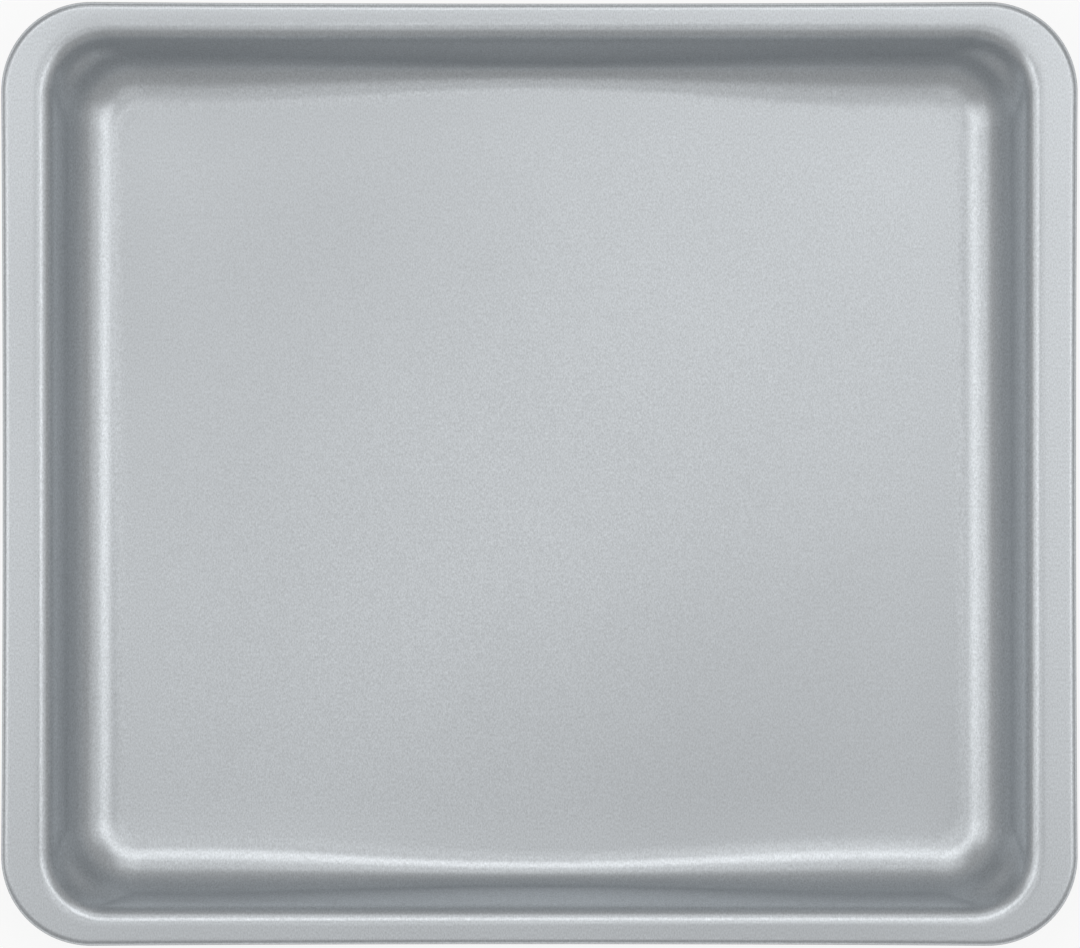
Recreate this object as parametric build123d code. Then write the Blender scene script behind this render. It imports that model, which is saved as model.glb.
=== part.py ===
"""Cookie sheet: a pressed steel tray whose edge is curled round a stiffening wire.

Sizes are in millimetres. The origin is the middle of the underside of the floor,
+X runs along the length, +Y along the width and +Z is up.
"""

from build123d import *
import math
import os

# Overall size, over the curled edge
length = 406.0
width = 356.0
height = 31.0
corner_radius = 34.5

# Steel sheet and the bends pressed into it, on its upper face
sheet = 0.8
lip_radius = 6.0
foot_radius = 17.5

# Walls: the lean from upright, in degrees, and the corner radius seen from above
draft = 18.0
wall_corner_radius = 21.0

# Flat rim, from the outer edge to the start of the lip bend
end_flange = 12.5
side_flange = 7.9

# Wire in the curled edge, and how far the sheet wraps it, in degrees
wire_diameter = 4.0
wire_clearance = 0.05
wire_butt_gap = 0.6
curl_wrap = 285.0

# How far a tool solid runs past the sheet that it trims
overrun = 4.0

# Each bend turns the sheet from flat to the lean of the wall
bend_turn = 90.0 - draft
bend_setback_share = math.tan(math.radians(bend_turn / 2))
lean_share = math.tan(math.radians(draft))

# Where the flat of the rim would meet the flat of the wall
lip_half_length = length / 2 - end_flange - lip_radius * bend_setback_share
lip_half_width = width / 2 - side_flange - lip_radius * bend_setback_share

# Where the flat of the wall would meet the floor
wall_run = (height - sheet) * lean_share
foot_half_length = lip_half_length - wall_run
foot_half_width = lip_half_width - wall_run

# The curl hugs the wire, and its top is level with the rim
curl_bore = wire_diameter / 2 + wire_clearance
curl_radius = curl_bore + sheet
curl_level = height - curl_radius


def rounded_outline(half_length, half_width, radius, level):
    """Rounded rectangle about the middle of the sheet, lying at a level."""
    return Pos(0, 0, level) * RectangleRounded(2 * half_length, 2 * half_width, radius)


def curl_outline():
    """Line of the wire's middle, round the whole rim."""
    half_length = length / 2 - curl_radius
    half_width = width / 2 - curl_radius
    return rounded_outline(half_length, half_width, corner_radius - curl_radius, curl_level)


def press_tool(gap):
    """Solid that fills the tray and covers its rim, standing off by a gap below the upper face.

    With no gap it is the punch that forms the upper face, and with the sheet as its gap
    it is the hollow of the die that forms the underside.
    """
    spread = gap * bend_setback_share
    radius = wall_corner_radius + spread
    foot = rounded_outline(foot_half_length + spread, foot_half_width + spread, radius, sheet - gap)
    lip = rounded_outline(lip_half_length + spread, lip_half_width + spread, radius, height - gap)
    rim = Pos(0, 0, curl_radius - gap) * curl_outline()
    tool = loft([foot, lip], ruled=True) + extrude(rim, overrun)
    rim_face = tool.faces().filter_by(Plane.XY).sort_by(Axis.Z)[1]
    tool = fillet(rim_face.inner_wires()[0].edges(), lip_radius - gap)
    foot_face = tool.faces().sort_by(Axis.Z)[0]
    return fillet(foot_face.edges(), foot_radius + gap)


def curl_section():
    """Open ring from the top of the rim out, down and back up round the wire."""
    outer = CenterArc((0, 0), curl_radius, 90, -curl_wrap)
    inner = CenterArc((0, 0), curl_bore, 90, -curl_wrap)
    return make_face([outer, inner, Line(outer @ 0, inner @ 0), Line(outer @ 1, inner @ 1)])


def along_rim(section):
    """A section, drawn with x pointing outwards and y up, carried round the rim."""
    path = curl_outline().wire()
    travel = path % 0
    outwards = travel.cross(Vector(0, 0, 1))
    if outwards.dot(path @ 0) < 0:
        outwards = -outwards
    start = Plane(origin=path @ 0, x_dir=outwards, z_dir=outwards.cross(Vector(0, 0, 1)))
    return sweep(start * section, path)


def tray():
    """The sheet pressed between punch and die, with its edge curled."""
    pressed = press_tool(sheet) - press_tool(0)
    return pressed + along_rim(curl_section())


def rim_wire():
    """Wire loop inside the curl, its two ends meeting in the middle of one long side."""
    loop = along_rim(Circle(wire_diameter / 2))
    butt = Box(wire_butt_gap, 2 * wire_diameter, 2 * wire_diameter)
    return loop - Pos(0, curl_radius - width / 2, curl_level) * butt


os.makedirs("parts", exist_ok=True)
for name, piece in {"tray": tray(), "rim_wire": rim_wire()}.items():
    piece.label = name
    export_step(piece, f"parts/{name}.step")
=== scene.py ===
import math

import bpy
import numpy as np
from bpy.props import FloatProperty, FloatVectorProperty, IntProperty, PointerProperty
from bpy.types import Operator, Panel, PropertyGroup
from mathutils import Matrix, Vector


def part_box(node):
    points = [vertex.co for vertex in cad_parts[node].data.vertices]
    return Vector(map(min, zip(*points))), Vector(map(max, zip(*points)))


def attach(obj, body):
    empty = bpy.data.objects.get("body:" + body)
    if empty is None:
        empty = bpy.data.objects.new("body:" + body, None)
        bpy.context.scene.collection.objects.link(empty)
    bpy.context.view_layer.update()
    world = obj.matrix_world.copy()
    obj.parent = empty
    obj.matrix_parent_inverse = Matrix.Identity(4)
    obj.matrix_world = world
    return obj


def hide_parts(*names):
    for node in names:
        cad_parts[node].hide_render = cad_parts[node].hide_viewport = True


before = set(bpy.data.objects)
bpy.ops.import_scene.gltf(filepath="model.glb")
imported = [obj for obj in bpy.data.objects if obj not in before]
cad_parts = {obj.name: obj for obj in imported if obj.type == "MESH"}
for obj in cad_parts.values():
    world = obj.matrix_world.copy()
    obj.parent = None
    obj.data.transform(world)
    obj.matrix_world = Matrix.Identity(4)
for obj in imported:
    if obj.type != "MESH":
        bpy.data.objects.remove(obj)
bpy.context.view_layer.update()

bl_info = {
    "name": "Cookie Sheet",
    "version": (1, 0, 0),
    "blender": (4, 5, 0),
    "location": "View3D > Sidebar > Cookie Sheet",
    "description": "Makes a pressed steel cookie sheet with a wired edge, its coating and its studio",
    "category": "Add Mesh",
}

MM = 0.001

# Faces across each stretch of the sheet's section, and round the wire
FLOOR_STEPS = 33
FOOT_STEPS = 40
WALL_STEPS = 9
LIP_STEPS = 28
RIM_STEPS = 15
CURL_STEPS = 48
WIRE_STEPS = 20

# Finer steps in which a bend's curvature is summed, for each of its faces
SUM_STEPS = 20

# Edges that turn by more than this are shaded sharp
SHARP_ANGLE = math.radians(50)

# How far round the curl, as a share of its wrap, the outermost line of the edge lies, where the painted
# shade along the edge is centred
EDGE_PLACE = 0.28

# Scales of the broad textures, in features per metre
CLOUD_SCALE = 14.0
PATCH_SCALE = 60.0
FIBRE_SCALE = 900.0

# Soft boxes: bearing from +X towards +Y and elevation, in degrees, then length and width in metres
SOFT_BOXES = {
    "left_box": (180, 61, 0.8, 0.6),
    "right_box": (0, 62, 0.8, 0.6),
    "back_box": (90, 63, 0.9, 0.6),
    "front_box": (270, 62, 0.9, 0.75),
    "low_left_box": (180, 38, 1.2, 0.5),
    "low_right_box": (0, 38, 1.2, 0.5),
    "low_back_box": (90, 38, 1.2, 0.5),
    "back_left_box": (135, 60, 0.4, 0.4),
    "back_right_box": (45, 60, 0.4, 0.4),
    "top_box": (40, 89.9, 0.3, 0.7),
}

tray_low, tray_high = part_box("tray")


# Sizes, finishes and lights that a user would change

class CookieSheetSizes(PropertyGroup):
    length: FloatProperty(
        name="Length", description="Overall length along X, over the curled edge",
        default=tray_high[0] - tray_low[0], unit="LENGTH")
    width: FloatProperty(
        name="Width", description="Overall width along Y, over the curled edge",
        default=tray_high[1] - tray_low[1], unit="LENGTH")
    height: FloatProperty(
        name="Height", description="From the underside of the floor to the top of the rim",
        default=tray_high[2] - tray_low[2], unit="LENGTH")
    sheet: FloatProperty(
        name="Sheet", description="Thickness of the steel", default=0.8 * MM, unit="LENGTH")
    draft: FloatProperty(
        name="Draft", description="How far the walls lean from upright",
        default=math.radians(17.6), subtype="ANGLE", unit="ROTATION")
    end_rim: FloatProperty(
        name="End rim", description="From the outer edge to where rim and wall would meet, at the ends",
        default=18.5 * MM, unit="LENGTH")
    side_rim: FloatProperty(
        name="Side rim", description="From the outer edge to where rim and wall would meet, at the sides",
        default=13.6 * MM, unit="LENGTH")
    lip_radius: FloatProperty(
        name="Lip radius", description="Tightest bend between the wall and the rim",
        default=7 * MM, unit="LENGTH")
    lip_ease_rim: FloatProperty(
        name="Lip ease, rim", description="Length over which the lip's bend sets in from the rim",
        default=2 * MM, unit="LENGTH")
    lip_ease_wall: FloatProperty(
        name="Lip ease, wall", description="Length over which the lip's bend dies out in the wall",
        default=7 * MM, unit="LENGTH")
    foot_radius: FloatProperty(
        name="Foot radius", description="Tightest bend between the floor and the wall",
        default=20.5 * MM, unit="LENGTH")
    foot_ease_floor: FloatProperty(
        name="Foot ease, floor", description="Length over which the foot's bend sets in from the floor",
        default=6.5 * MM, unit="LENGTH")
    foot_ease_wall: FloatProperty(
        name="Foot ease, wall", description="Length over which the foot's bend dies out in the wall",
        default=3.5 * MM, unit="LENGTH")
    foot_tightening: FloatProperty(
        name="Foot tightening", description="How much tighter the foot's bend is midway along the sides",
        default=9.5 * MM, unit="LENGTH")
    foot_tight_reach: FloatProperty(
        name="Tight reach", description="How far each way from the middle the foot's bend is tighter",
        default=130 * MM, unit="LENGTH")
    corner_radius: FloatProperty(
        name="Outer corner", description="Corner radius of the outer edge, seen from above",
        default=34.5 * MM, unit="LENGTH")
    lip_corner: FloatProperty(
        name="Lip corner", description="Corner radius where the wall would meet the rim",
        default=21 * MM, unit="LENGTH")
    foot_corner: FloatProperty(
        name="Foot corner", description="Corner radius where the wall would meet the floor",
        default=21 * MM, unit="LENGTH")
    floor_corner: FloatProperty(
        name="Floor corner", description="Least corner radius of the edge of the floor's flat",
        default=6 * MM, unit="LENGTH")
    corner_blend: FloatProperty(
        name="Corner blend", description="Length of wall over which one corner radius eases into the next",
        default=3 * MM, unit="LENGTH")
    wire_diameter: FloatProperty(
        name="Wire", description="Diameter of the wire in the curled edge", default=4 * MM, unit="LENGTH")
    wire_clearance: FloatProperty(
        name="Wire clearance", description="Room between the wire and the curl", default=0.05 * MM,
        unit="LENGTH")
    wire_gap: FloatProperty(
        name="Wire gap", description="Gap where the two ends of the wire meet", default=0.6 * MM,
        unit="LENGTH")
    curl_wrap: FloatProperty(
        name="Curl wrap", description="How far the sheet wraps the wire, from the top of the rim",
        default=math.radians(285), subtype="ANGLE", unit="ROTATION")
    rim_sag: FloatProperty(
        name="Rim sag", description="How far the back rim's inner side hangs below its curl",
        default=0.12 * MM, unit="LENGTH")
    side_bow: FloatProperty(
        name="Side bow", description="How far the middle of each side's outer edge springs inwards",
        default=0.9 * MM, unit="LENGTH")
    floor_dish: FloatProperty(
        name="Floor dish", description="How far the edge of the floor turns up above its middle",
        default=0.6 * MM, unit="LENGTH")
    floor_turn: FloatProperty(
        name="Floor turn", description="Length over which the floor turns up at its edge",
        default=5 * MM, unit="LENGTH")
    side_steps: IntProperty(
        name="Side steps", description="Faces along each straight side", default=32, min=4)
    corner_steps: IntProperty(
        name="Corner steps", description="Faces round each corner", default=32, min=4)


class CookieSheetCoating(PropertyGroup):
    color: FloatVectorProperty(
        name="Color", description="Silver grey of the coating", default=(0.552, 0.578, 0.6),
        size=3, subtype="COLOR", min=0, max=1)
    metallic: FloatProperty(
        name="Metallic", description="Share of the coating that mirrors as its metal flakes do",
        default=0.95, min=0, max=1, subtype="FACTOR")
    roughness: FloatProperty(
        name="Roughness", description="Satin gloss of the coating", default=0.315, min=0, max=1,
        subtype="FACTOR")
    roughness_spread: FloatProperty(
        name="Roughness spread", description="How far specks are glossier or duller", default=0.04,
        min=0, max=1, subtype="FACTOR")
    flake: FloatProperty(
        name="Flake", description="Size of one bright or dull speck", default=0.5 * MM, unit="LENGTH")
    flake_stretch: FloatProperty(
        name="Flake stretch", description="How much longer specks are along the width than the length",
        default=2.0, min=1)
    flake_contrast: FloatProperty(
        name="Flake contrast", description="How far specks are brighter or darker than the rest",
        default=0.18, min=0, max=1, subtype="FACTOR")
    cloud_contrast: FloatProperty(
        name="Cloud contrast", description="How far broad patches of spray differ in brightness",
        default=0.015, min=0, max=1, subtype="FACTOR")
    peel: FloatProperty(
        name="Orange peel", description="Height of the fine ripple in the coating", default=0.006 * MM,
        unit="LENGTH")
    # Painted shade: how much the coat's colour is darkened along the curl's outermost line, standing in for
    # the dark line of shade at the edge
    painted_edge_shade: FloatProperty(
        name="Edge shade", description="How much darker the thin coat is along the curl's outermost line",
        default=0.6, min=0, max=1, subtype="FACTOR")


class CookieSheetWire(PropertyGroup):
    color: FloatVectorProperty(
        name="Color", description="Grey of the drawn steel", default=(0.46, 0.46, 0.47),
        size=3, subtype="COLOR", min=0, max=1)
    roughness: FloatProperty(
        name="Roughness", description="Dullness of the drawn steel", default=0.38, min=0, max=1,
        subtype="FACTOR")
    draw_lines: FloatProperty(
        name="Draw lines", description="Distance between the fine lines left by the die",
        default=0.15 * MM, unit="LENGTH")


class CookieSheetStudio(PropertyGroup):
    camera_distance: FloatProperty(
        name="Camera distance", description="From the rim up to the camera", default=1.3,
        unit="LENGTH")
    view_width: FloatProperty(
        name="View width", description="Width of the picture at the level of the rim",
        default=405.9 * MM, unit="LENGTH")
    view_centre: FloatVectorProperty(
        name="View centre", description="Middle of the picture, from the middle of the tray",
        default=(0.23 * MM, -0.05 * MM), size=2, unit="LENGTH")
    floor_size: FloatProperty(
        name="Floor size", description="Side of the pale floor", default=12, unit="LENGTH")
    backing: FloatProperty(
        name="Backing", description="Share of even white behind the floor's paper", default=0.85,
        min=0, max=1, subtype="FACTOR")
    lamp_distance: FloatProperty(
        name="Lamp distance", description="From the tray to each soft box", default=1.6, unit="LENGTH")
    room: FloatProperty(
        name="Room", description="Brightness of the pale room round the soft boxes", default=0.445, min=0)
    left_box: FloatProperty(
        name="Left box", description="Brightness of the soft box on the left", default=1.3, min=0)
    right_box: FloatProperty(
        name="Right box", description="Brightness of the soft box on the right", default=1.35, min=0)
    back_box: FloatProperty(
        name="Back box", description="Brightness of the soft box beyond the tray", default=1.35, min=0)
    front_box: FloatProperty(
        name="Front box", description="Brightness of the soft box before the tray", default=0.36, min=0)
    low_left_box: FloatProperty(
        name="Low left box", description="Brightness of the low soft box on the left", default=0.75, min=0)
    low_right_box: FloatProperty(
        name="Low right box", description="Brightness of the low soft box on the right", default=0.43, min=0)
    low_back_box: FloatProperty(
        name="Low back box", description="Brightness of the low soft box beyond the tray", default=0.62,
        min=0)
    back_left_box: FloatProperty(
        name="Back left box", description="Brightness of the small soft box beyond and left", default=1.0,
        min=0)
    back_right_box: FloatProperty(
        name="Back right box", description="Brightness of the small soft box beyond and right", default=1.0,
        min=0)
    top_box: FloatProperty(
        name="Top box", description="Brightness of the long soft box overhead", default=0.93, min=0)


# Shape of the pressed sheet

def running_sum(values, along):
    """Integral of values up to each place along a line, by the trapezoid rule."""
    return np.concatenate([[0.0], np.cumsum((values[1:] + values[:-1]) / 2 * np.diff(along))])


def bend(turn, radius, ease_in, ease_out, steps):
    """Bend that starts level, as arrays of distance away from its start, distance off level, and tilt.

    Its curvature rises evenly over ease_in, stays at 1 / radius and falls evenly over ease_out.
    """
    steady = turn * radius - (ease_in + ease_out) / 2
    ends = np.cumsum([0, ease_in, steady, ease_out])
    along = np.linspace(0, ends[-1], SUM_STEPS * steps + 1)
    tilt = running_sum(np.interp(along, ends, [0, 1, 1, 0]), along)
    tilt *= turn / tilt[-1]
    away = running_sum(np.cos(tilt), along)
    off = running_sum(np.sin(tilt), along)
    return away[::SUM_STEPS], off[::SUM_STEPS], tilt[::SUM_STEPS]


def ring_frame(side_steps, corner_steps, gap=0.0):
    """Unit frame of a rounded rectangle, once round from the middle of the front side.

    Returns four arrays. A point of any rounded rectangle is then
    x = core_x * (half length - radius) + radius * out_x, and y is alike: the core runs along
    the straight sides and waits at the corners, while the outward direction turns there.
    A gap leaves the ring open in the middle of the front side, by that share of the core.
    """
    half = np.linspace(gap, 1, side_steps // 2, endpoint=False)
    whole = np.linspace(-1, 1, side_steps, endpoint=False)
    turn = np.linspace(0, math.pi / 2, corner_steps, endpoint=False)
    still = np.ones(corner_steps)
    side = np.ones(side_steps)
    last = np.linspace(-1, -gap, side_steps // 2 + 1)
    if gap == 0:
        last = last[:-1]
    core_x = np.concatenate([half, still, side, still, -whole, -still, -side, -still, last])
    core_y = np.concatenate(
        [-np.ones(half.size), -still, whole, still, side, still, -whole, -still, -np.ones(last.size)])
    quarter = math.pi / 2
    angle = np.concatenate(
        [-quarter * np.ones(half.size), turn - quarter, 0 * side, turn, quarter * side,
         turn + quarter, 2 * quarter * side, turn + 2 * quarter, 3 * quarter * np.ones(last.size)])
    return core_x, core_y, np.cos(angle), np.sin(angle)


def ring_points(rows, ring):
    """Grid of points, one rounded rectangle for each row of half length, half width, radius and level."""
    half_length, half_width, radius, level = (rows[:, k, None] for k in range(4))
    core_x, core_y, out_x, out_y = ring
    x = core_x * (half_length - radius) + radius * out_x
    y = core_y * (half_width - radius) + radius * out_y
    return np.stack([x, y, np.broadcast_to(level, x.shape)], axis=-1)


def curl_line(s):
    """Row of the line down the middle of the wire."""
    reach = s.wire_diameter / 2 + s.wire_clearance + s.sheet
    return np.array([s.length / 2 - reach, s.width / 2 - reach, s.corner_radius - reach, s.height - reach])


def upper_face(s):
    """Rows up the upper face of the sheet, from the edge of the floor's flat to the end of the curl.

    Returns the rows of half length, half width, corner radius and level, the tilt of each from
    level, and four shares: how far a tighter foot moves the row out and down, how much of the
    rim's sag it takes (the square of the way over the rim, and on through the lip at that slope),
    and how far round the curl it is.
    """
    turn = math.pi / 2 - s.draft
    lean = math.tan(s.draft)
    lip_place = np.array([s.length / 2 - s.end_rim, s.width / 2 - s.side_rim, s.lip_corner])
    foot_out = -(s.height - s.sheet) * lean

    away, rise, foot_tilt = bend(
        turn, s.foot_radius, s.foot_ease_floor, s.foot_ease_wall, FOOT_STEPS)
    setback = away[-1] - rise[-1] * lean
    foot = lip_place + (foot_out - setback + away)[:, None]
    corner = s.foot_corner - setback + away
    foot[:, 2] = (corner + np.hypot(corner, 2 * s.floor_corner)) / 2
    foot = np.column_stack([foot, s.sheet + rise])
    tight_out = (setback - away) / s.foot_radius
    tight_down = rise / s.foot_radius

    away, drop, lip_tilt = bend(
        turn, s.lip_radius, s.lip_ease_rim, s.lip_ease_wall, LIP_STEPS)
    lip = lip_place + (away[-1] - drop[-1] * lean - away)[:, None]
    lip = np.column_stack([lip, s.height - drop])[::-1]

    middle = curl_line(s)
    crown = np.append(middle[:3], s.height)
    sag = 1 + 2 * away / (crown[1] - lip[-1, 1])
    wrapped = np.linspace(0, 1, CURL_STEPS + 1)
    turned = s.curl_wrap * wrapped
    around = np.stack([np.sin(turned)] * 3 + [np.cos(turned)], axis=1)
    curl = middle + (s.height - middle[3]) * around

    up_wall = np.linspace(0, 1, WALL_STEPS + 1)[1:-1]
    over_rim = np.linspace(0, 1, RIM_STEPS + 1)[1:-1]
    wall = foot[-1] + up_wall[:, None] * (lip[0] - foot[-1])
    rim = lip[-1] + over_rim[:, None] * (crown - lip[-1])

    rows = np.concatenate([foot, wall, lip, rim, curl])
    pressed = len(rows) - len(curl)
    rows[:pressed, 2] = eased_corners(rows[:pressed], s.corner_blend)
    none = np.zeros(len(lip) + len(rim) + len(curl))
    tilt = np.concatenate(
        [foot_tilt, turn + 0 * up_wall, lip_tilt[::-1], 0 * over_rim, -turned])
    shares = np.stack([
        np.concatenate([tight_out, tight_out[-1] * (1 - up_wall), none]),
        np.concatenate([tight_down, tight_down[-1] * (1 - up_wall), none]),
        np.concatenate([0 * rise, sag[-1] * up_wall, sag[::-1], (1 - over_rim) ** 2, 0 * wrapped]),
        np.concatenate([np.zeros(pressed), wrapped])])
    return rows, tilt, shares


def eased_corners(rows, blend):
    """Corner radii of rows, averaged over a length of the face with weights that fall off as a bell.

    Both ends are pulled back to their own radii, so that they still meet their neighbours.
    """
    step = np.hypot(np.diff(rows[:, 0]), np.diff(rows[:, 3]))
    place = np.concatenate([[0.0], np.cumsum(step)])
    fine = np.linspace(0, place[-1], 400)
    radius = np.interp(fine, place, rows[:, 2])
    weight = np.exp(-0.5 * ((fine[:, None] - fine[None, :]) / blend) ** 2)
    smooth = (weight @ radius) / weight.sum(1)
    smooth += np.exp(-fine / blend) * (radius[0] - smooth[0])
    smooth += np.exp(-(fine[-1] - fine) / blend) * (radius[-1] - smooth[-1])
    return np.interp(place, fine, smooth)


def sprung(points, s):
    """Points moved as the rim springs: its outer edge bows in by a parabola along each side.

    The bow fades to nothing between the edge and the line where rim and wall would meet.
    """
    along, across = points[..., 0] / (s.length / 2), points[..., 1] / (s.width / 2)
    out_x = np.clip(1 - (1 - np.abs(along)) * s.length / 2 / s.end_rim, 0, 1)
    out_y = np.clip(1 - (1 - np.abs(across)) * s.width / 2 / s.side_rim, 0, 1)
    moved = points.copy()
    moved[..., 0] -= s.side_bow * np.sign(along) * out_x * np.clip(1 - across ** 2, 0, 1)
    moved[..., 1] -= s.side_bow * np.sign(across) * out_y * np.clip(1 - along ** 2, 0, 1)
    return moved


def pressed_shape(grid, ring, shares, floor, s):
    """Grid of the sheet with the small ways in which a pressed one departs from its drawing.

    Midway along the long sides the foot's bend is tighter, by a bump that is a squared
    parabola along the side. The back rim sags inwards, most where it faces straight back.
    The floor's flat turns up at its edge, by one less a product of two logistic steps, and the
    turn fades out over the lower half of the wall.
    """
    core_x, core_y, out_x, out_y = ring
    tight_out, tight_down, sag = (share[:, None] for share in shares[:3])
    bump = np.clip(1 - (core_x * floor[0] / s.foot_tight_reach) ** 2, 0, 1) ** 2
    back = np.clip(out_y, 0, 1) ** 2
    inside = (floor[:2] - np.abs(grid[..., :2])) / s.floor_turn
    flat = (1 / (1 + np.exp(-np.clip(inside, -30, 30)))).prod(axis=-1)
    low = np.clip(1 - 2 * grid[..., 2] / s.height, 0, 1)
    grid = grid.copy()
    grid[..., 2] += s.floor_dish * (1 - flat) * low
    grid[..., 2] -= s.foot_tightening * tight_down * bump + s.rim_sag * sag * back
    grid[..., 1] += s.foot_tightening * tight_out * bump * out_y
    return grid


def grid_faces(rows, columns, closed_rows=False, closed_columns=True):
    """Four corner indices of each face of a grid of points, row by row."""
    index = np.arange(rows * columns).reshape(rows, columns)
    if closed_columns:
        index = np.concatenate([index, index[:, :1]], axis=1)
    if closed_rows:
        index = np.concatenate([index, index[:1]], axis=0)
    return np.stack([index[:-1, :-1], index[1:, :-1], index[1:, 1:], index[:-1, 1:]], axis=-1).reshape(-1, 4)


def fan_faces(pole, ring):
    """Triangles from a pole to each pair of neighbours in a closed ring of indices."""
    return np.stack([np.full(len(ring), pole), ring, np.roll(ring, -1)], axis=1)


def mesh_object(name, points, faces, sharp_angle):
    """Object of that name at the origin, shaded smooth but for edges sharper than an angle."""
    mesh = bpy.data.meshes.new(name)
    mesh.from_pydata(points.tolist(), [], faces)
    mesh.shade_smooth()
    mesh.set_sharp_from_angle(angle=sharp_angle)
    piece = bpy.data.objects.new(name, mesh)
    bpy.context.scene.collection.objects.link(piece)
    return piece


def point_values(piece, name, values):
    """Keeps one number for each point of a piece, for its material."""
    attribute = piece.data.attributes.new(name, "FLOAT", "POINT")
    attribute.data.foreach_set("value", np.asarray(values, dtype=np.float32))


def tray_mesh(s):
    """Closed shell of the pressed sheet, as points, faces and how far round the curl each point is.

    Rows of rounded rectangles run from the middle of the floor out and up the upper face, round
    the curl, and back along the lower face, which is the upper one moved in along its normal by
    the sheet. On the floor they crowd towards its edge, by a sine. One point closes the middle
    of each face.
    """
    ring = ring_frame(s.side_steps, s.corner_steps)
    upper, tilt, shares = upper_face(s)
    inward = np.stack([np.sin(tilt)] * 3 + [-np.cos(tilt)], axis=1)
    lower = upper + s.sheet * inward
    over_floor = np.sin(np.linspace(0, math.pi / 2, FLOOR_STEPS + 1))[1:-1]
    middle = np.column_stack([over_floor[:, None] * upper[0, :3], np.full(over_floor.size, s.sheet)])
    under = middle - np.array([0, 0, 0, s.sheet])
    floor_shares = over_floor * shares[:, :1]
    rows = np.concatenate([middle, upper, lower[::-1], under[::-1]])
    half_shares = np.concatenate([floor_shares, shares], axis=1)
    all_shares = np.concatenate([half_shares, half_shares[:, ::-1]], axis=1)
    all_shares[3, len(rows) // 2:] = 1

    grid = pressed_shape(ring_points(rows, ring), ring, all_shares, upper[0], s)
    count, columns = grid.shape[:2]
    poles = np.array([[0, 0, s.sheet], [0, 0, 0]])
    points = sprung(np.concatenate([grid.reshape(-1, 3), poles]), s)
    first = np.arange(columns)
    last = first + (count - 1) * columns
    faces = grid_faces(count, columns).tolist()
    faces += fan_faces(count * columns, first).tolist()
    faces += fan_faces(count * columns + 1, last[::-1]).tolist()
    around_curl = np.append(np.repeat(all_shares[3], columns), [0, 1])
    return points, faces, around_curl


def wire_mesh(s):
    """Closed wire inside the curl, as points, faces and where each point is along and round the wire.

    Circles round the middle line are carried along the open ring, and a pole closes each end.
    """
    line = curl_line(s)
    gap = s.wire_gap / 2 / (line[0] - line[2])
    ring = ring_frame(s.side_steps, s.corner_steps, gap)
    angle = np.linspace(0, 2 * math.pi, WIRE_STEPS, endpoint=False)
    around = np.stack([np.sin(angle)] * 3 + [np.cos(angle)], axis=1)
    radius = s.wire_diameter / 2
    grid = ring_points(line + radius * around, ring)
    middle = ring_points(line[None, :], ring)[0]
    count, columns = grid.shape[:2]
    points = sprung(np.concatenate([grid.reshape(-1, 3), middle[[0, -1]]]), s)
    start = np.arange(count) * columns
    faces = grid_faces(count, columns, closed_rows=True, closed_columns=False).tolist()
    faces += fan_faces(count * columns, start[::-1]).tolist()
    faces += fan_faces(count * columns + 1, start + columns - 1).tolist()
    step = np.linalg.norm(np.diff(middle, axis=0), axis=1)
    along = np.concatenate([[0], np.cumsum(step)])
    place = np.stack([np.tile(along, count), np.repeat(radius * np.sin(angle), columns),
                      np.repeat(radius * np.cos(angle), columns)], axis=1)
    ends = np.array([[along[0], 0, 0], [along[-1], 0, 0]])
    return points, faces, np.concatenate([place, ends])


# Materials

def new_material(name):
    """New material of that name, its node tree and its surface shader."""
    material = bpy.data.materials.new(name)
    material.use_nodes = True
    tree = material.node_tree
    return material, tree, tree.nodes["Principled BSDF"]


def add_node(tree, kind, inputs, output=0, **settings):
    """Adds a node, sets or links its inputs, and gives back one of its outputs."""
    node = tree.nodes.new("ShaderNode" + kind)
    for name, value in settings.items():
        setattr(node, name, value)
    for name, value in inputs.items():
        if isinstance(value, bpy.types.NodeSocket):
            tree.links.new(value, node.inputs[name])
        else:
            node.inputs[name].default_value = value
    return node.outputs[output]


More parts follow.
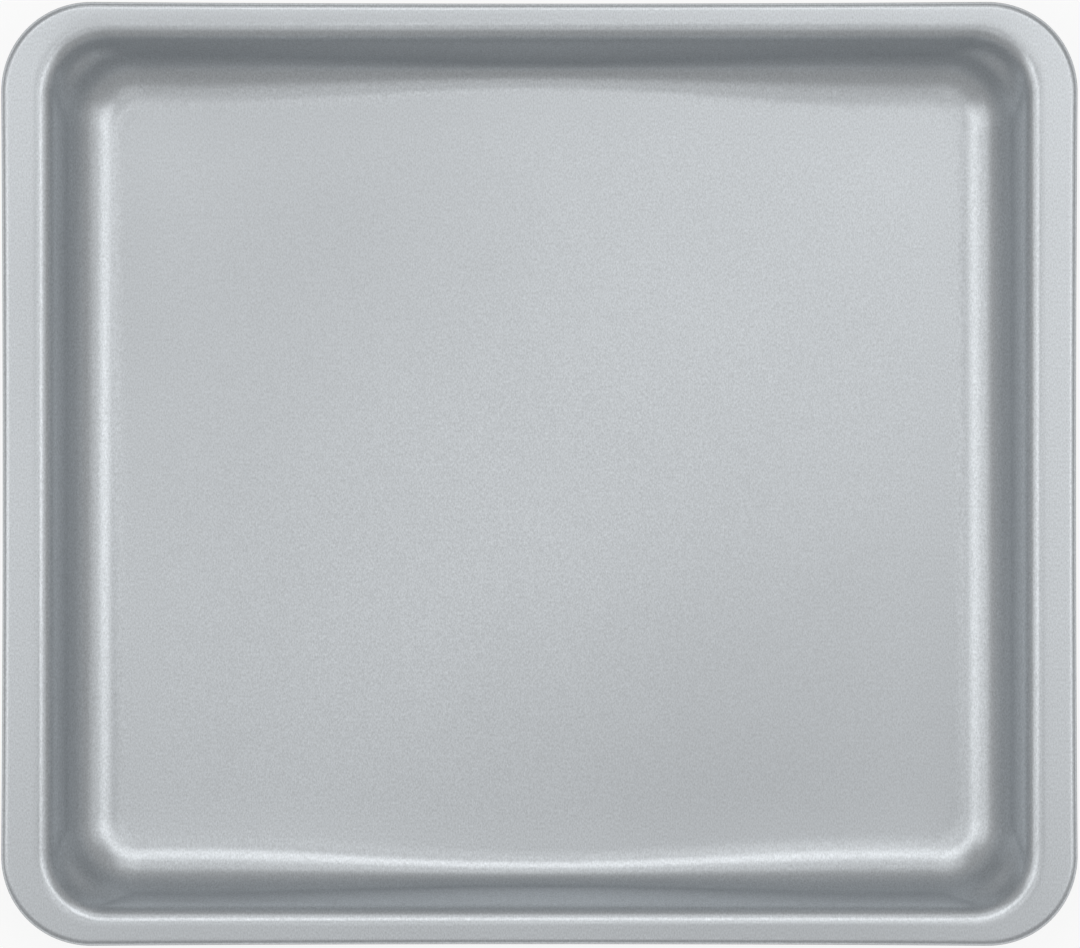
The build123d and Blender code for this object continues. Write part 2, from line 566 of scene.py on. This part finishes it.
def coating_material(look):
    """Satin silver-grey non-stick coating.

    Fine metallic specks, drawn out a little along Y, vary its brightness and gloss. Broad faint
    clouds come from the spray, and a fine ripple bumps it. Along the outermost line of the curl
    the colour is darkened by painted shade, which stands in for the dark line of shade at the edge.
    """
    material, tree, shader = new_material("silver_nonstick_coating")
    place = add_node(tree, "TexCoord", {}, "Object")
    stretch = 1 / look.flake_stretch
    drawn = add_node(tree, "Mapping", {"Vector": place, "Scale": (1, stretch, stretch)})
    specks = add_node(tree, "TexNoise", {
        "Vector": drawn, "Scale": 1 / look.flake, "Detail": 2.0, "Roughness": 0.6})
    clouds = add_node(tree, "TexNoise", {"Vector": place, "Scale": CLOUD_SCALE, "Detail": 3.0})
    ripple = add_node(tree, "TexNoise", {
        "Vector": place, "Scale": 0.7 / look.flake, "Detail": 2.0, "Roughness": 0.5})
    wrap = add_node(tree, "Attribute", {}, "Fac", attribute_name="around_curl")

    speck_shade = add_node(tree, "MapRange", {
        "Value": specks, "From Min": 0.25, "From Max": 0.75,
        "To Min": 1 - look.flake_contrast, "To Max": 1 + look.flake_contrast})
    cloud_shade = add_node(tree, "MapRange", {
        "Value": clouds, "From Min": 0.3, "From Max": 0.7,
        "To Min": 1 - look.cloud_contrast, "To Max": 1 + look.cloud_contrast})
    # Painted shade: the colour is darkened in a band round the curl's outermost line
    off_edge = add_node(tree, "Math", {0: wrap, 1: EDGE_PLACE}, operation="SUBTRACT")
    off_edge = add_node(tree, "Math", {0: off_edge}, operation="ABSOLUTE")
    painted_edge_shade = add_node(tree, "MapRange", {
        "Value": off_edge, "From Min": 0.03, "From Max": 0.1, "To Min": 1 - look.painted_edge_shade, "To Max": 1.0},
        interpolation_type="SMOOTHSTEP")
    shade = add_node(tree, "Math", {0: speck_shade, 1: cloud_shade}, operation="MULTIPLY")
    shade = add_node(tree, "Math", {0: shade, 1: painted_edge_shade}, operation="MULTIPLY")
    tint = add_node(tree, "VectorMath", {0: look.color, "Scale": shade}, operation="SCALE")
    tree.links.new(tint, shader.inputs["Base Color"])

    gloss = add_node(tree, "MapRange", {
        "Value": specks, "From Min": 0.25, "From Max": 0.75,
        "To Min": look.roughness + look.roughness_spread, "To Max": look.roughness - look.roughness_spread})
    tree.links.new(gloss, shader.inputs["Roughness"])
    peel = add_node(tree, "Bump", {"Height": ripple, "Strength": 1.0, "Distance": look.peel})
    tree.links.new(peel, shader.inputs["Normal"])
    shader.inputs["Metallic"].default_value = look.metallic
    return material


def wire_material(look):
    """Plain drawn steel, with fine lines along the wire that bump it and vary its gloss and shade."""
    material, tree, shader = new_material("drawn_steel_wire")
    place = add_node(tree, "Attribute", {}, "Vector", attribute_name="wire_place")
    drawn = add_node(tree, "Mapping", {"Vector": place, "Scale": (0.02, 1, 1)})
    lines = add_node(tree, "TexNoise", {
        "Vector": drawn, "Scale": 1 / look.draw_lines, "Detail": 3.0, "Roughness": 0.6})
    patches = add_node(tree, "TexNoise", {"Vector": place, "Scale": PATCH_SCALE, "Detail": 3.0})
    line_shade = add_node(tree, "MapRange", {
        "Value": lines, "From Min": 0.25, "From Max": 0.75, "To Min": 0.85, "To Max": 1.12})
    patch_shade = add_node(tree, "MapRange", {
        "Value": patches, "From Min": 0.3, "From Max": 0.7, "To Min": 0.9, "To Max": 1.05})
    shade = add_node(tree, "Math", {0: line_shade, 1: patch_shade}, operation="MULTIPLY")
    tint = add_node(tree, "VectorMath", {0: look.color, "Scale": shade}, operation="SCALE")
    tree.links.new(tint, shader.inputs["Base Color"])
    gloss = add_node(tree, "MapRange", {
        "Value": lines, "From Min": 0.25, "From Max": 0.75,
        "To Min": look.roughness + 0.08, "To Max": look.roughness - 0.08})
    tree.links.new(gloss, shader.inputs["Roughness"])
    scored = add_node(tree, "Bump", {"Height": lines, "Strength": 1.0, "Distance": 0.01 * MM})
    tree.links.new(scored, shader.inputs["Normal"])
    shader.inputs["Metallic"].default_value = 1
    return material


def floor_material(backing):
    """Matt near-white paper with a faint fibre.

    Seen directly or mirrored in metal, a share of it is backed by even white, and the rest keeps
    the shadow.
    """
    material, tree, shader = new_material("pale_paper")
    place = add_node(tree, "TexCoord", {}, "Object")
    fibre = add_node(tree, "TexNoise", {"Vector": place, "Scale": FIBRE_SCALE, "Detail": 4.0})
    shade = add_node(tree, "MapRange", {
        "Value": fibre, "From Min": 0.3, "From Max": 0.7, "To Min": 0.98, "To Max": 1.0})
    tint = add_node(tree, "VectorMath", {0: (0.94, 0.94, 0.94), "Scale": shade}, operation="SCALE")
    tree.links.new(tint, shader.inputs["Base Color"])
    shader.inputs["Roughness"].default_value = 0.8

    white = add_node(tree, "Emission", {"Color": (1, 1, 1, 1), "Strength": 1.0})
    seen = add_node(tree, "LightPath", {}, "Is Camera Ray")
    rays = seen.node.outputs
    seen = add_node(tree, "Math", {0: seen, 1: rays["Is Glossy Ray"]}, operation="MAXIMUM")
    seen = add_node(tree, "Math", {0: seen, 1: rays["Is Transmission Ray"]}, operation="MAXIMUM")
    share = add_node(tree, "Math", {0: seen, 1: backing}, operation="MULTIPLY")
    paper = add_node(tree, "MixShader", {0: share, 1: shader.outputs["BSDF"], 2: white})
    tree.links.new(paper, tree.nodes["Material Output"].inputs["Surface"])
    return material


# Studio

def soft_box(name, bearing, elevation, length, width, brightness):
    """Adds a soft box that faces the tray from a bearing and an elevation, in degrees.

    The bearing runs from +X towards +Y. The box's power is its brightness times its area and pi.
    """
    studio = bpy.context.scene.cookiesheet_studio
    across, up = math.radians(bearing), math.radians(elevation)
    towards = Vector((math.cos(up) * math.cos(across), math.cos(up) * math.sin(across), math.sin(up)))
    light = bpy.data.lights.new(name, "AREA")
    light.shape = "RECTANGLE"
    light.size = length
    light.size_y = width
    light.energy = brightness * math.pi * length * width
    lamp = bpy.data.objects.new(name, light)
    lamp.location = studio.lamp_distance * towards
    lamp.rotation_euler = (-towards).to_track_quat("-Z", "Y").to_euler()
    bpy.context.scene.collection.objects.link(lamp)


# Operators

class COOKIESHEET_OT_tray(Operator):
    """Make the pressed sheet with its curled edge and coating"""
    bl_idname = "cookiesheet.tray"
    bl_label = "Tray"

    def execute(self, context):
        points, faces, around_curl = tray_mesh(context.scene.cookiesheet_sizes)
        tray = mesh_object("tray_sheet", points, faces, SHARP_ANGLE)
        point_values(tray, "around_curl", around_curl)
        tray.data.materials.append(coating_material(context.scene.cookiesheet_coating))
        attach(tray, "root")
        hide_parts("tray")
        return {"FINISHED"}


class COOKIESHEET_OT_rim_wire(Operator):
    """Make the wire in the curled edge"""
    bl_idname = "cookiesheet.rim_wire"
    bl_label = "Rim wire"

    def execute(self, context):
        points, faces, place = wire_mesh(context.scene.cookiesheet_sizes)
        wire = mesh_object("rim_wire_loop", points, faces, SHARP_ANGLE)
        attribute = wire.data.attributes.new("wire_place", "FLOAT_VECTOR", "POINT")
        attribute.data.foreach_set("vector", place.astype(np.float32).ravel())
        wire.data.materials.append(wire_material(context.scene.cookiesheet_wire))
        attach(wire, "root")
        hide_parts("rim_wire")
        return {"FINISHED"}


class COOKIESHEET_OT_studio(Operator):
    """Make the pale floor, the soft boxes and the camera"""
    bl_idname = "cookiesheet.studio"
    bl_label = "Studio"

    def execute(self, context):
        scene = context.scene
        studio = scene.cookiesheet_studio
        half = studio.floor_size / 2
        level = -0.1 * MM
        corners = np.array(
            [(-half, -half, level), (half, -half, level), (half, half, level), (-half, half, level)])
        floor = mesh_object("pale_floor", corners, [(0, 1, 2, 3)], math.pi)
        floor.data.materials.append(floor_material(studio.backing))

        for name, (bearing, elevation, length, width) in SOFT_BOXES.items():
            soft_box(name, bearing, elevation, length, width, getattr(studio, name))

        lens = bpy.data.cameras.new("camera")
        camera = bpy.data.objects.new("camera", lens)
        scene.collection.objects.link(camera)
        rim = scene.cookiesheet_sizes.height
        camera.location = (*studio.view_centre, rim + studio.camera_distance)
        lens.lens = lens.sensor_width * studio.camera_distance / studio.view_width
        lens.clip_end = 10
        scene.camera = camera

        world = bpy.data.worlds.new("soft_room")
        world.use_nodes = True
        world.node_tree.nodes["Background"].inputs["Color"].default_value = (1, 1, 1, 1)
        world.node_tree.nodes["Background"].inputs["Strength"].default_value = studio.room
        scene.world = world
        scene.view_settings.view_transform = "Standard"
        return {"FINISHED"}


class COOKIESHEET_PT_sidebar(Panel):
    bl_label = "Cookie Sheet"
    bl_idname = "COOKIESHEET_PT_sidebar"
    bl_space_type = "VIEW_3D"
    bl_region_type = "UI"
    bl_category = "Cookie Sheet"

    def draw(self, context):
        scene = context.scene
        for group in (scene.cookiesheet_sizes, scene.cookiesheet_coating, scene.cookiesheet_wire,
                      scene.cookiesheet_studio):
            column = self.layout.column(align=True)
            for name in group.__annotations__:
                column.prop(group, name)
        for operator in (COOKIESHEET_OT_tray, COOKIESHEET_OT_rim_wire, COOKIESHEET_OT_studio):
            self.layout.operator(operator.bl_idname)


classes = (
    CookieSheetSizes, CookieSheetCoating, CookieSheetWire, CookieSheetStudio, COOKIESHEET_OT_tray,
    COOKIESHEET_OT_rim_wire, COOKIESHEET_OT_studio, COOKIESHEET_PT_sidebar)


def register():
    for one in classes:
        bpy.utils.register_class(one)
    bpy.types.Scene.cookiesheet_sizes = PointerProperty(type=CookieSheetSizes)
    bpy.types.Scene.cookiesheet_coating = PointerProperty(type=CookieSheetCoating)
    bpy.types.Scene.cookiesheet_wire = PointerProperty(type=CookieSheetWire)
    bpy.types.Scene.cookiesheet_studio = PointerProperty(type=CookieSheetStudio)


def unregister():
    del bpy.types.Scene.cookiesheet_studio
    del bpy.types.Scene.cookiesheet_wire
    del bpy.types.Scene.cookiesheet_coating
    del bpy.types.Scene.cookiesheet_sizes
    for one in reversed(classes):
        bpy.utils.unregister_class(one)


def main():
    register()
    bpy.ops.cookiesheet.tray()
    bpy.ops.cookiesheet.rim_wire()
    bpy.ops.cookiesheet.studio()


if __name__ == "__main__":
    main()
